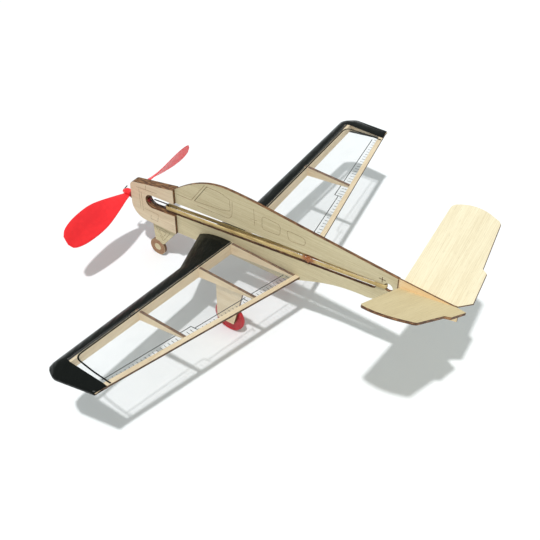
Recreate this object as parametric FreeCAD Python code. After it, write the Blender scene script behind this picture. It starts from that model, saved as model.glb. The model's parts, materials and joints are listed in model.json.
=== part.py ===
import FreeCAD, Part
import math
import os

from FreeCAD import Vector

# A rubber-band powered V-tail model aeroplane cut from flat balsa sheet.
# Millimetres.  +X port, -X starboard, -Y towards the nose, +Z up.
# While it is built, Y and Z are counted from the root of the wing's trailing edge.
# The finished parts are moved so that the origin is the middle of the box's base.

# ---- sheet stock -------------------------------------------------------------
SHEET = 2.0                # fuselage, nose doublers, ribs and undercarriage
TAIL_SHEET = 1.5           # the two tail plates
TAIL_MOUNT_SHEET = 1.0     # thin sheet that carries the tail plates
FILM = 0.15                # printed film over the wing

# ---- fuselage outline --------------------------------------------------------
NOSE_Y = -135.0            # front edge of the nose
DOUBLER_LENGTH = 37.5      # nose doublers, from the nose back
NOSE_TOP_Z = 16.4          # top front corner of the nose
COWL_TOP_Z = 24.4          # top edge at the back of the doublers
BELLY_Z = -11.4            # underside of the nose
NOSE_CORNER_R = 4.5
CHIN_R = 11.0
WINDSCREEN_RUN = 43.5      # from the back of the doublers to the top of the roof
ROOF_TOP_Z = 42.8
ROOF_BACK_Z = 38.9         # top edge above the back of the wing
SADDLE_FRONT_Y = -50.0     # level underside between the wings
SADDLE_BACK_Y = -14.0
SADDLE_Z = -8.2
SEAM_Y = 65.8              # seam between the fuselage and the tail mount
SEAM_TOP_Z = 32.9
SEAM_BELLY_Z = 12.6
BOOM_BELLY_AHEAD = 18.8    # end of the rising belly, ahead of the seam
BOOM_BELLY_Z = 9.0
SCREEN_LOW_HANDLE = (14.0, 11.2)     # how far the curves run straight on from their ends
SCREEN_TOP_HANDLE = 16.0
ROOF_HANDLE = 18.0
RISE_LOW_HANDLE = (22.0, 8.2)
RISE_TOP_HANDLE = (27.0, 0.8)

# ---- slot and hole for the rubber motor --------------------------------------
SLOT_FRONT_SETBACK = 18.0  # centre of the slot's round front end, behind the nose
SLOT_FRONT_Z = 6.8
SLOT_FRONT_R = 5.2
SLOT_REAR_AHEAD = 16.3     # centre of the slot's round rear end, ahead of the seam
SLOT_REAR_Z = 20.9
SLOT_REAR_R = 2.9
POST_WIDTH = 4.7           # wood left standing behind the slot
POST_HOLE_R = 2.9
POST_HOLE_Z = 23.4

# ---- nose leg with its wheel shape -------------------------------------------
NOSE_WHEEL_SETBACK = 17.7  # wheel centre behind the nose
NOSE_WHEEL_Z = -33.2
NOSE_WHEEL_R = 6.4
NOSE_LEG_SETBACK = 15.5    # front of the leg's root behind the nose
NOSE_LEG_ROOT = 21.5       # width of the leg at its root
NOSE_LEG_FOOT = 7.0        # width of the leg at the wheel
NOSE_LEG_FOOT_AHEAD = 1.0  # front of the foot ahead of the wheel centre
NOSE_LEG_FOOT_Z = -28.5

# ---- shaft, bearing and propeller --------------------------------------------
HUB_Z = 3.0                # middle of the blades
SHAFT_R = 0.4
SHAFT_CLEARANCE = 0.05
AXIAL_GAP = 0.1
BEARING_TUBE_R = 1.6
BEARING_FLANGE_R = 3.0
BEARING_FLANGE = 1.4
BEARING_REAR_STAND = 0.6   # how far the tube stands out into the slot
WASHER_R = 1.8
WASHER = 0.6
HUB_FRONT = 5.6            # hub length ahead of the blade centre
HUB_BACK = 1.9
HUB_R = 2.6
PROP_R = 62.0
PROP_PITCH = 184.0
PROP_PHASE = 0.9           # degrees that the blades are turned from level
BLADE_THICKNESS = 1.1
BLADE_FULL_SHARE = 0.6     # share of the chord that keeps the full thickness
BLADE_STATIONS = [0.04, 0.12, 0.30, 0.50, 0.70, 0.85, 0.95, 0.99]
BLADE_LEADING = [2.4, 4.2, 6.9, 8.6, 8.4, 7.0, 4.6, 1.8]
BLADE_TRAILING = [2.4, 3.6, 6.8, 9.9, 10.9, 10.3, 8.2, 4.6]
FRONT_BEND = 4.2           # wire bent over in front of the hub
FRONT_BEND_RISE = 1.2
HOOK_START = 1.4           # straight wire behind the bearing
HOOK_CRANK = 2.4           # wire that runs down to the hook's lower side
HOOK_LENGTH = 14.0
HOOK_HEIGHT = 3.4          # between the hook's two wires
BEND_R = 1.0

# ---- rubber motor ------------------------------------------------------------
RUBBER_HEIGHT = 2.4        # the strip stands on edge
RUBBER_WIDTH = 1.0
RUBBER_GAP = 0.15          # beside the post, and at the hook
KNOT_Y = 6.0
KNOT_R = 2.0

# ---- wing --------------------------------------------------------------------
DIHEDRAL = 5.15            # degrees, each side
TE_SWEEP = 0.1885          # trailing edge runs forward towards the tip
SPAR_Y = -51.2             # aft face of the spar at the root
SPAR_SWEEP = 0.019
SPAR_TOP_ROOT = 2.3        # spar top above the trailing edge's top
SPAR_TOP_TIP = 0.8
SPAR_DEPTH_ROOT = 8.0
SPAR_DEPTH_TIP = 5.6
SPAR_THICKNESS = 1.6
TE_WIDTH = 3.2
TE_THICKNESS = 1.5
LE_Y = -64.2               # leading edge outboard of the glove
GLOVE_REACH = 14.8         # how far the glove carries the leading edge forward at the root
GLOVE_SPAN = 38.0
LE_WIDTH = 3.0
LE_THICKNESS = 2.0
LE_DROP = 4.2              # leading edge's top below the spar's top
GLOVE_DROP = 1.8           # how much lower still it lies at the root
RIB_CURVE_SHARES = [0.25, 0.6]       # corners of the ribs between strip and spar
MIDDLE_RIB_X = 35.0        # outer faces of the ribs
OUTER_RIB_X = 88.0
TIP_RIB_X = 145.0
TIP_RIB_THICKNESS = 1.6
TIP_REACH = 8.5            # widest point of the tip outside its rib
TIP_SHOULDER_INSET = 1.4
TIP_LE_REACH = 3.5
TIP_TE_REACH = 5.3
TIP_LE_SETBACK = 0.6       # the tip's corners behind the leading edge
TIP_SHOULDER_SETBACK = 5.5
TIP_CORNER_SETBACK = 9.7

# ---- main undercarriage ------------------------------------------------------
WHEEL_R = 11.0
WHEEL_Y = -33.0
WHEEL_THICKNESS = 2.4
WHEEL_RIM_R = 0.6
AXLE_R = 0.5
AXLE_CLEARANCE = 0.05
AXLE_HEAD_R = 1.3
AXLE_HEAD = 0.7
WHEEL_GAP = 0.15
STRUT_AHEAD = 7.3          # front edge of the strut ahead of the axle
STRUT_ROOT_BEHIND = 13.4   # its back edge behind the axle, at the wing
STRUT_FOOT_BEHIND = 5.4    # and at the foot
STRUT_BELOW_AXLE = 2.4
STRUT_TOP_DROP = 2.4       # its top edge below the top of the rib that it is glued to
STRUT_TOE_R = 1.5
STRUT_HEEL_R = 1.0

# ---- tail plates, counted aft from the seam ----------------------------------
TAIL_MOUNT_LENGTH = 35.5   # top edge of the tail mount
TAIL_MOUNT_LIP = 2.0       # its back edge stands out below the tail plates
TAIL_MOUNT_LIP_DROP = 2.4
TAIL_TOP_Z = 30.6          # back end of the top edge
TAIL_BELLY_Z = 20.5
TAIL_RISE = 0.55           # rise per millimetre outboard
TAIL_TILT = 0.125          # rise per millimetre aft
TAIL_LE_SETBACK = 0.6
TAIL_LE_SWEEP = 3.0
TAIL_LE_X = 50.9
TAIL_LE_R = 4.0
TAIL_TIP_X = 54.8
TAIL_TIP_BACK = 17.2
TAIL_TIP_R = 30.0
TAIL_TE_X = 48.6
TAIL_TE_BACK = 34.8
TAIL_TE_R = 3.0
TAIL_STEP_X = 22.5
TAIL_STEP_BACK = 38.5
TAIL_STEP_RUN = 1.6
TAIL_STEP = 3.2
TAIL_STEP_R = 0.8
TAIL_ROOT_X = 4.2
TAIL_ROOT_BACK = 43.2

# ---- places that follow from the sizes above ---------------------------------
CUT_PAST = 1.0             # how far a cutting solid runs past what it cuts
HALF = SHEET / 2
NOSE_SIDE_X = HALF + SHEET
DOUBLER_END_Y = NOSE_Y + DOUBLER_LENGTH
ROOF_TOP_Y = DOUBLER_END_Y + WINDSCREEN_RUN
SLOT_FRONT_Y = NOSE_Y + SLOT_FRONT_SETBACK
SLOT_REAR_Y = SEAM_Y - SLOT_REAR_AHEAD
POST_BACK_Y = SLOT_REAR_Y + SLOT_REAR_R + POST_WIDTH
POST_HOLE_Y = POST_BACK_Y + POST_HOLE_R
NOSE_WHEEL_Y = NOSE_Y + NOSE_WHEEL_SETBACK
TAIL_END_Y = SEAM_Y + TAIL_MOUNT_LENGTH
GROUND_Z = NOSE_WHEEL_Z - NOSE_WHEEL_R
HUB_Y = NOSE_Y - HUB_BACK - AXIAL_GAP - WASHER - AXIAL_GAP - BEARING_FLANGE
PORT = 1
STARBOARD = -1
SIDES = {"port": PORT, "starboard": STARBOARD}


# ---- small helpers for flat sheet parts --------------------------------------
def closed_wire(points):
    """A closed wire of straight edges through the points."""
    return Part.makePolygon(list(points) + [points[0]])


def sheet_from_edges(edges, inner_x, outer_x):
    """A flat sheet part in the side view, between two distances from the middle."""
    face = Part.Face(Part.Wire(edges))
    solid = face.extrude(Vector(outer_x - inner_x, 0, 0))
    solid.translate(Vector(inner_x, 0, 0))
    return solid


def side(y, z):
    """A point of the side view."""
    return Vector(0, y, z)


def line(a, b):
    return Part.LineSegment(a, b).toShape()


def curve(start, start_handle, end_handle, end):
    """A smooth edge that leaves its ends towards the two handles."""
    bezier = Part.BezierCurve()
    bezier.setPoles([start, start_handle, end_handle, end])
    return bezier.toShape()


def corner_arc(before, corner, after, radius):
    """An arc that rounds a corner, with its two tangent points."""
    one = (before - corner).normalize()
    two = (after - corner).normalize()
    half_angle = one.getAngle(two) / 2
    reach = radius / math.tan(half_angle)
    start = corner + one * reach
    end = corner + two * reach
    inward = (one + two).normalize()
    centre = corner + inward * (radius / math.sin(half_angle))
    middle = centre - inward * radius
    return Part.Arc(start, middle, end).toShape(), start, end


def rounded_outline(corners):
    """Edges of a polygon whose corners are (point, radius)."""
    count = len(corners)
    arcs = []
    for index, (point, radius) in enumerate(corners):
        if radius > 0:
            before = corners[index - 1][0]
            after = corners[(index + 1) % count][0]
            arcs.append(corner_arc(before, point, after, radius))
        else:
            arcs.append((None, point, point))
    edges = []
    for index, (arc, start, end) in enumerate(arcs):
        if arc is not None:
            edges.append(arc)
        edges.append(line(end, arcs[(index + 1) % count][1]))
    return edges


def ruled(sections):
    """A solid with straight lines between sections that have the same corners."""
    return Part.makeLoft([closed_wire(points) for points in sections], True, True)


def mirrored(shape, hand):
    """The port shape, or its mirror image for the starboard side."""
    if hand == PORT:
        return shape
    return shape.mirror(Vector(0, 0, 0), Vector(1, 0, 0))


def box_between(low, high):
    size = high - low
    return Part.makeBox(size.x, size.y, size.z, low)


# ---- fuselage, doublers and tail mount ---------------------------------------
def motor_slot(inner_x, outer_x):
    """The long slot: two round ends joined by the lines that touch both."""
    dy = SLOT_REAR_Y - SLOT_FRONT_Y
    dz = SLOT_REAR_Z - SLOT_FRONT_Z
    along = math.atan2(dz, dy)
    lean = math.acos((SLOT_FRONT_R - SLOT_REAR_R) / math.hypot(dy, dz))

    def on_end(y, z, radius, angle):
        return side(y + radius * math.cos(angle), z + radius * math.sin(angle))

    front = (SLOT_FRONT_Y, SLOT_FRONT_Z, SLOT_FRONT_R)
    rear = (SLOT_REAR_Y, SLOT_REAR_Z, SLOT_REAR_R)
    front_top = on_end(*front, along + lean)
    front_low = on_end(*front, along - lean)
    rear_top = on_end(*rear, along + lean)
    rear_low = on_end(*rear, along - lean)
    edges = [
        Part.Arc(front_top, on_end(*front, along + math.pi), front_low).toShape(),
        line(front_low, rear_low),
        Part.Arc(rear_low, on_end(*rear, along), rear_top).toShape(),
        line(rear_top, front_top),
    ]
    return sheet_from_edges(edges, inner_x, outer_x)


def nose_front_edges():
    """Front of the nose, from the top of the doubler's back edge to the chin."""
    cowl = side(DOUBLER_END_Y, COWL_TOP_Z)
    top = side(NOSE_Y, NOSE_TOP_Z)
    chin = side(NOSE_Y, BELLY_Z)
    belly = side(DOUBLER_END_Y, BELLY_Z)
    top_arc, top_in, top_out = corner_arc(cowl, top, chin, NOSE_CORNER_R)
    chin_arc, chin_in, chin_out = corner_arc(top, chin, belly, CHIN_R)
    return [line(cowl, top_in), top_arc, line(top_out, chin_in), chin_arc, line(chin_out, belly)]


def post_hole():
    return Part.makeCylinder(
        POST_HOLE_R, 2 * SHEET, Vector(-SHEET, POST_HOLE_Y, POST_HOLE_Z), Vector(1, 0, 0)
    )


def nose_leg():
    """Leg and wheel shape that hang below the nose, cut in one with the fuselage."""
    root_front = NOSE_Y + NOSE_LEG_SETBACK
    root_back = root_front + NOSE_LEG_ROOT
    foot_front = NOSE_WHEEL_Y - NOSE_LEG_FOOT_AHEAD
    corners = [
        side(root_front, BELLY_Z + SHEET),
        side(root_front, BELLY_Z),
        side(foot_front, NOSE_LEG_FOOT_Z),
        side(foot_front + NOSE_LEG_FOOT, NOSE_LEG_FOOT_Z),
        side(root_back, BELLY_Z),
        side(root_back, BELLY_Z + SHEET),
    ]
    leg = sheet_from_edges(closed_wire(corners).Edges, -HALF, HALF)
    disc = Part.makeCylinder(
        NOSE_WHEEL_R, SHEET, Vector(-HALF, NOSE_WHEEL_Y, NOSE_WHEEL_Z), Vector(1, 0, 0)
    )
    return leg.fuse(disc)


def fuselage():
    """The whole side profile: nose, cabin roof, saddle, boom, nose leg and slot."""
    cowl = side(DOUBLER_END_Y, COWL_TOP_Z)
    belly = side(DOUBLER_END_Y, BELLY_Z)
    roof_top = side(ROOF_TOP_Y, ROOF_TOP_Z)
    roof_back = side(0.0, ROOF_BACK_Z)
    seam_top = side(SEAM_Y, SEAM_TOP_Z)
    seam_low = side(SEAM_Y, SEAM_BELLY_Z)
    boom = side(SEAM_Y - BOOM_BELLY_AHEAD, BOOM_BELLY_Z)
    saddle_front = side(SADDLE_FRONT_Y, SADDLE_Z)
    saddle_back = side(SADDLE_BACK_Y, SADDLE_Z)
    roof_end_slope = (SEAM_TOP_Z - ROOF_BACK_Z) / SEAM_Y
    windscreen = curve(
        cowl, cowl + side(*SCREEN_LOW_HANDLE), roof_top - side(SCREEN_TOP_HANDLE, 0), roof_top
    )
    roof = curve(
        roof_top,
        roof_top + side(ROOF_HANDLE, 0),
        roof_back - side(ROOF_HANDLE, ROOF_HANDLE * roof_end_slope),
        roof_back,
    )
    rise = curve(saddle_back, saddle_back + side(*RISE_LOW_HANDLE), boom - side(*RISE_TOP_HANDLE), boom)
    edges = nose_front_edges() + [
        line(belly, saddle_front),
        line(saddle_front, saddle_back),
        rise,
        line(boom, seam_low),
        line(seam_low, seam_top),
        line(seam_top, roof_back),
        roof,
        windscreen,
    ]
    sheet = sheet_from_edges(edges, -HALF, HALF).fuse(nose_leg()).removeSplitter()
    return sheet.cut(motor_slot(-SHEET, SHEET)).cut(post_hole())


def nose_doubler():
    """Port doubler: the nose outline again, glued on the fuselage's side."""
    back = line(side(DOUBLER_END_Y, BELLY_Z), side(DOUBLER_END_Y, COWL_TOP_Z))
    sheet = sheet_from_edges(nose_front_edges() + [back], HALF, NOSE_SIDE_X)
    return sheet.cut(motor_slot(0, NOSE_SIDE_X + SHEET))


def tail_mount():
    """Thin back end of the fuselage, from the seam to the tail."""
    lip_y = TAIL_END_Y + TAIL_MOUNT_LIP
    points = [
        side(SEAM_Y, SEAM_BELLY_Z),
        side(SEAM_Y, SEAM_TOP_Z),
        side(TAIL_END_Y, TAIL_TOP_Z),
        side(lip_y, TAIL_TOP_Z - TAIL_MOUNT_LIP_DROP),
        side(lip_y, TAIL_BELLY_Z),
    ]
    return sheet_from_edges(closed_wire(points).Edges, -TAIL_MOUNT_SHEET / 2, TAIL_MOUNT_SHEET / 2)


def tail_root_z(y):
    """Height of a tail plate's top surface at the middle, by distance aft."""
    return TAIL_TOP_Z + TAIL_TILT * (y - TAIL_END_Y)


def tail_plate():
    """Port tail plate: a flat sheet whose root is bevelled against the tail mount."""

    def top(x, y):
        return Vector(x, y, tail_root_z(y) + TAIL_RISE * x)

    inner = -SHEET
    le_root_y = SEAM_Y + TAIL_LE_SETBACK
    step_y = SEAM_Y + TAIL_STEP_BACK
    corners = [
        (top(inner, le_root_y), 0),
        (top(TAIL_LE_X, le_root_y + TAIL_LE_SWEEP), TAIL_LE_R),
        (top(TAIL_TIP_X, SEAM_Y + TAIL_TIP_BACK), TAIL_TIP_R),
        (top(TAIL_TE_X, SEAM_Y + TAIL_TE_BACK), TAIL_TE_R),
        (top(TAIL_STEP_X, step_y), TAIL_STEP_R),
        (top(TAIL_STEP_X - TAIL_STEP_RUN, step_y + TAIL_STEP), TAIL_STEP_R),
        (top(TAIL_ROOT_X, SEAM_Y + TAIL_ROOT_BACK), 0),
        (top(0, TAIL_END_Y), 0),
        (top(inner, TAIL_END_Y), 0),
    ]
    face = Part.Face(Part.Wire(rounded_outline(corners)))
    down = Vector(TAIL_RISE, TAIL_TILT, -1.0).normalize() * TAIL_SHEET
    plate = face.extrude(down)
    reach = TAIL_TIP_X * 2
    outboard = box_between(
        Vector(TAIL_MOUNT_SHEET / 2, SEAM_Y - reach, GROUND_Z), Vector(reach, TAIL_END_Y + reach, reach)
    )
    return plate.common(outboard)


# ---- thrust line: shaft, bearing, washer, propeller --------------------------
SLOPE = math.atan2(POST_HOLE_Z - HUB_Z, POST_HOLE_Y - HUB_Y)
AFT = Vector(0, math.cos(SLOPE), math.sin(SLOPE))
UP = Vector(0, -math.sin(SLOPE), math.cos(SLOPE))
ACROSS = Vector(1, 0, 0)
HUB = Vector(0, HUB_Y, HUB_Z)


def on_line(aft, up=0.0, across=0.0):
    """A point counted from the blades' centre along, above and beside the thrust line."""
    return HUB + AFT * aft + UP * up + ACROSS * across


def aft_of_hub(y):
    """Distance along the thrust line at which it reaches a given Y."""
    return (y - HUB_Y) / AFT.y


def rod(radius, start, end):
    return Part.makeCylinder(radius, end - start, on_line(start), AFT)


WASHER_START = HUB_BACK + AXIAL_GAP
FLANGE_START = WASHER_START + WASHER + AXIAL_GAP
TUBE_START = FLANGE_START + BEARING_FLANGE
LINE_Z_IN_SLOT = HUB_Z + (SLOT_FRONT_Y - HUB_Y) * math.tan(SLOPE)
TUBE_OFF_MIDDLE = abs(LINE_Z_IN_SLOT - SLOT_FRONT_Z) + BEARING_TUBE_R
WOOD_END_Y = SLOT_FRONT_Y - math.sqrt(SLOT_FRONT_R ** 2 - TUBE_OFF_MIDDLE ** 2)
TUBE_END = aft_of_hub(WOOD_END_Y) + BEARING_REAR_STAND
HOOK_AFT = TUBE_END + HOOK_START + HOOK_LENGTH


def bearing_outside():
    flange = rod(BEARING_FLANGE_R, FLANGE_START, TUBE_START)
    return flange.fuse(rod(BEARING_TUBE_R, TUBE_START, TUBE_END))


def nose_bearing():
    bore = rod(SHAFT_R + SHAFT_CLEARANCE, FLANGE_START - CUT_PAST, TUBE_END + CUT_PAST)
    return bearing_outside().cut(bore)


def thrust_washer():
    ring = rod(WASHER_R, WASHER_START, WASHER_START + WASHER)
    return ring.cut(rod(SHAFT_R, WASHER_START - CUT_PAST, WASHER_START + WASHER + CUT_PAST))


def wire(corners, radius):
    """Round wire along straight runs whose inner corners are bent to BEND_R."""
    edges = []
    start = corners[0]
    for before, corner, after in zip(corners, corners[1:], corners[2:]):
        arc, arc_in, arc_out = corner_arc(before, corner, after, BEND_R)
        edges += [line(start, arc_in), arc]
        start = arc_out
    edges.append(line(start, corners[-1]))
    path = Part.Wire(edges)
    direction = corners[1] - corners[0]
    section = Part.Wire(Part.makeCircle(radius, corners[0], direction))
    return path.makePipeShell([section], True, False)


def prop_shaft():
    """One piece of wire: the bend ahead of the hub, the shaft, and the hook."""
    front = -HUB_FRONT - SHAFT_R - AXIAL_GAP
    low = -HOOK_HEIGHT / 2
    hook_turn = TUBE_END + HOOK_START
    corners = [
        on_line(front, FRONT_BEND_RISE, -FRONT_BEND),
        on_line(front),
        on_line(hook_turn),
        on_line(hook_turn + HOOK_CRANK, low),
        on_line(HOOK_AFT, low),
        on_line(HOOK_AFT, low + HOOK_HEIGHT),
        on_line(hook_turn + HOOK_CRANK, low + HOOK_HEIGHT),
    ]
    return wire(corners, SHAFT_R)


def blade_section(share, leading, trailing):
    """Thin lens across a blade, turned to the pitch of a constant-pitch screw."""
    radius = share * PROP_R
    pitch_angle = math.atan2(PROP_PITCH, 2 * math.pi * radius)
    phase = math.radians(PROP_PHASE)
    outward = ACROSS * math.cos(phase) + UP * math.sin(phase)
    upward = UP * math.cos(phase) - ACROSS * math.sin(phase)
    chord = upward * math.cos(pitch_angle) - AFT * math.sin(pitch_angle)
    normal = chord.cross(outward)
    half = BLADE_THICKNESS / 2
    centre = HUB + outward * radius
    full_front = centre + chord * (leading * BLADE_FULL_SHARE)
    full_back = centre - chord * (trailing * BLADE_FULL_SHARE)
    return [
        centre + chord * leading,
        full_front + normal * half,
        full_back + normal * half,
        centre - chord * trailing,
        full_back - normal * half,
        full_front - normal * half,
    ]


def propeller():
    rows = zip(BLADE_STATIONS, BLADE_LEADING, BLADE_TRAILING)
    blade = ruled([blade_section(*row) for row in rows])
    other = blade.copy()
    other.rotate(HUB, AFT, 180)
    hub = rod(HUB_R, -HUB_FRONT, HUB_BACK)
    shape = hub.fuse([blade, other])
    return shape.cut(rod(SHAFT_R, -HUB_FRONT - CUT_PAST, HUB_BACK + CUT_PAST))


# ---- rubber motor ------------------------------------------------------------
def loop_sheet(half_width, start, end):
    """A long loop seen from above the thrust line, as a solid of the band's height."""
    low = -RUBBER_HEIGHT / 2
    corners = [
        on_line(start, low, half_width),
        on_line(end, low, half_width),
        on_line(end, low, -half_width),
        on_line(start, low, -half_width),
    ]
    edges = [
        line(corners[0], corners[1]),
        Part.Arc(corners[1], on_line(end + half_width, low), corners[2]).toShape(),
        line(corners[2], corners[3]),
        Part.Arc(corners[3], on_line(start - half_width, low), corners[0]).toShape(),
    ]
    return Part.Face(Part.Wire(edges)).extrude(UP * RUBBER_HEIGHT)


def rubber_motor():
    """One flat rubber strip, knotted into a loop, from the hook round the post."""
    inside = HALF + RUBBER_GAP
    end = aft_of_hub(POST_BACK_Y)
    start = HOOK_AFT - SHAFT_R - RUBBER_GAP + inside
    loop = loop_sheet(inside + RUBBER_WIDTH, start, end).cut(loop_sheet(inside, start, end))
    knot = Part.makeSphere(KNOT_R, on_line(aft_of_hub(KNOT_Y), 0, inside + RUBBER_WIDTH / 2))
    return loop.fuse(knot)


# ---- wing --------------------------------------------------------------------
RISE = math.tan(math.radians(DIHEDRAL))


def along_span(x, root, tip):
    return root + (tip - root) * x / TIP_RIB_X


def glove_share(x):
    """One at the root and nothing from the end of the glove outwards."""
    return max(0.0, 1 - x / GLOVE_SPAN)


def te_y(x):
    return -TE_SWEEP * x


def spar_y(x):
    return SPAR_Y - SPAR_SWEEP * x


def le_y(x):
    return LE_Y - GLOVE_REACH * glove_share(x)


def spar_top(x):
    return along_span(x, SPAR_TOP_ROOT, SPAR_TOP_TIP)


def spar_bottom(x):
    return spar_top(x) - along_span(x, SPAR_DEPTH_ROOT, SPAR_DEPTH_TIP)


def le_top(x):
    return spar_top(x) - LE_DROP - GLOVE_DROP * glove_share(x)


def te_top(x, y):
    """Flat top surface from the spar back to the trailing edge."""
    return spar_top(x) * (te_y(x) - y) / (te_y(x) - spar_y(x))


def nose_top(x, y):
    """Top surface that curves up from the leading edge to the spar."""
    share = (y - le_y(x)) / (spar_y(x) - le_y(x))
    return le_top(x) + (spar_top(x) - le_top(x)) * (1 - (1 - share) ** 3)


def wing_point(x, y, z):
    """A point of the wing, with its height counted from the dihedral line."""
    return Vector(x, y, z + x * RISE)


def top_corners(x):
    """Corners of the wing's top from front to back: strip, curve, spar, strip."""
    strip_back = le_y(x) + LE_WIDTH
    spar_front = spar_y(x) - SPAR_THICKNESS
    curved = [strip_back + share * (spar_front - strip_back) for share in RIB_CURVE_SHARES]
    points = [(y, nose_top(x, y)) for y in [le_y(x), strip_back] + curved + [spar_front, spar_y(x)]]
    points += [(y, te_top(x, y)) for y in (te_y(x) - TE_WIDTH, te_y(x))]
    return [wing_point(x, y, z) for y, z in points]


def bottom_corners(x):
    """Corners of the wing's underside from front to back: strip, spar, strip."""
    strip_low = le_top(x) - LE_THICKNESS
    te_front = te_y(x) - TE_WIDTH
    points = [
        (le_y(x), strip_low),
        (le_y(x) + LE_WIDTH, strip_low),
        (spar_y(x) - SPAR_THICKNESS, spar_bottom(x)),
        (spar_y(x), spar_bottom(x)),
        (te_front, te_top(x, te_front) - TE_THICKNESS),
        (te_y(x), -TE_THICKNESS),
    ]
    return [wing_point(x, y, z) for y, z in points]


def wing_stick(top_pair, bottom_pair):
    """A stick along the span whose section has two top and two bottom corners."""
    sections = []
    for x in WING_STATIONS:
        top = top_corners(x)[top_pair]
        bottom = bottom_corners(x)[bottom_pair]
        sections.append(top + bottom[::-1])
    return ruled(sections)


def leading_edge():
    return wing_stick(slice(0, 2), slice(0, 2))


def spar():
    return wing_stick(slice(-4, -2), slice(2, 4))


def trailing_edge():
    return wing_stick(slice(-2, None), slice(4, 6))


def rib_blank(inner_x, outer_x):
    """A rib from the leading-edge strip to the trailing-edge strip, before slotting."""

    def section(x):
        return top_corners(x)[1:-1] + bottom_corners(x)[1:-1][::-1]

    return ruled([section(inner_x), section(outer_x)])


RIBS = {
    "root_rib": (HALF, HALF + SHEET),
    "middle_rib": (MIDDLE_RIB_X - SHEET, MIDDLE_RIB_X),
    "outer_rib": (OUTER_RIB_X - SHEET, OUTER_RIB_X),
    "tip_rib": (TIP_RIB_X - TIP_RIB_THICKNESS, TIP_RIB_X),
}
WING_STATIONS = sorted({GLOVE_SPAN}.union(*RIBS.values()))


def crossing(inner_x, outer_x, upper):
    """The upper or lower half of the place where a rib and the spar cross."""
    middle = (inner_x + outer_x) / 2
    half_way = (spar_top(middle) + spar_bottom(middle)) / 2 + middle * RISE
    reach = SPAR_DEPTH_ROOT * 2
    low = half_way if upper else half_way - reach
    return box_between(
        Vector(inner_x - SHEET, SPAR_Y - reach, low), Vector(outer_x + SHEET, SPAR_Y + reach, low + reach)
    )


def slotted_wing_frame():
    """Spar and ribs, halved into each other where they cross."""
    whole_spar = spar()
    slotted_spar = whole_spar
    ribs = {}
    for name, (inner_x, outer_x) in RIBS.items():
        blank = rib_blank(inner_x, outer_x)
        ribs[name] = blank.cut(whole_spar.common(crossing(inner_x, outer_x, True)))
        slotted_spar = slotted_spar.cut(blank.common(crossing(inner_x, outer_x, False)))
    return slotted_spar, ribs


def tip_outline():
    """Outside of the wing tip in the top view, from front to back."""
    front = le_y(TIP_RIB_X)
    te_x = TIP_RIB_X + TIP_TE_REACH
    return [
        (TIP_RIB_X + TIP_LE_REACH, front + TIP_LE_SETBACK),
        (TIP_RIB_X + TIP_REACH - TIP_SHOULDER_INSET, front + TIP_SHOULDER_SETBACK),
        (TIP_RIB_X + TIP_REACH, front + TIP_CORNER_SETBACK),
        (te_x, te_y(te_x)),
    ]


def tip_edge(count, lift=0.0):
    """Points round the tip's outline, as many as asked for, on its underside or above it."""
    outline = tip_outline()
    while len(outline) < count:
        gaps = [math.dist(a, b) for a, b in zip(outline, outline[1:])]
        index = gaps.index(max(gaps))
        (x0, y0), (x1, y1) = outline[index], outline[index + 1]
        outline.insert(index + 1, ((x0 + x1) / 2, (y0 + y1) / 2))
    front_y = le_y(TIP_RIB_X)
    front_low = le_top(TIP_RIB_X) - LE_THICKNESS
    slope = (-TE_THICKNESS - front_low) / (te_y(TIP_RIB_X) - front_y)
    return [wing_point(x, y, front_low + slope * (y - front_y) + lift) for x, y in outline]


def triangles(a, b, c, d):
    """A four-cornered patch as two flat triangles."""
    return [Part.Face(closed_wire([a, b, c])), Part.Face(closed_wire([a, c, d]))]


def skin(rows, offsets):
    """A thin sheet over a grid of points, thickened by one offset for each column."""
    lifted = [[point + offset for point, offset in zip(row, offsets)] for row in rows]
    faces = []
    for grid in (rows, lifted):
        for one, two in zip(grid, grid[1:]):
            for column in range(len(offsets) - 1):
                faces += triangles(one[column], one[column + 1], two[column + 1], two[column])
    for column in (0, len(offsets) - 1):
        for row in range(len(rows) - 1):
            faces += triangles(
                rows[row][column], rows[row + 1][column], lifted[row + 1][column], lifted[row][column]
            )
    for row in (0, len(rows) - 1):
        for column in range(len(offsets) - 1):
            faces += triangles(
                rows[row][column], rows[row][column + 1], lifted[row][column + 1], lifted[row][column]
            )
    shell = Part.Shell(faces)
    shell.sewShape()
    solid = Part.Solid(shell)
    if solid.Volume < 0:
        solid.reverse()
    return solid


def wing_tip():
    """Thin piece outside the tip rib, shaped to the tip."""
    inner = bottom_corners(TIP_RIB_X)[::-1]
    outer = tip_edge(len(inner))[::-1]
    return skin([inner, outer], [Vector(0, 0, TE_THICKNESS)] * len(inner))


def wing_film_upper():
    """Film over the top and round the leading edge, from the root to the tip."""
    rows = [[bottom_corners(x)[0]] + top_corners(x) for x in WING_STATIONS]
    columns = len(rows[0])
    rows.append([tip_edge(columns)[0]] + tip_edge(columns - 1, TE_THICKNESS))
    ahead = Vector(0, -FILM, 0)
    ahead_and_up = Vector(0, -FILM, FILM)
    up = Vector(0, 0, FILM)
    return skin(rows, [ahead, ahead_and_up] + [up] * (columns - 2))


def wing_film_lower():
    """Film under the wing, from the root to the tip.

    Its columns run from back to front, so that its flat facets bow away from the wood.
    """
    rows = [bottom_corners(x)[::-1] for x in WING_STATIONS]
    columns = len(rows[0])
    rows.append(tip_edge(columns)[::-1])
    return skin(rows, [Vector(0, 0, -FILM)] * columns)


# ---- main undercarriage ------------------------------------------------------
WHEEL_Z = GROUND_Z + WHEEL_R
STRUT_OUTER_X = MIDDLE_RIB_X - SHEET
STRUT_INNER_X = STRUT_OUTER_X - SHEET
WHEEL_OUTER_X = STRUT_INNER_X - WHEEL_GAP
WHEEL_INNER_X = WHEEL_OUTER_X - WHEEL_THICKNESS


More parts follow.
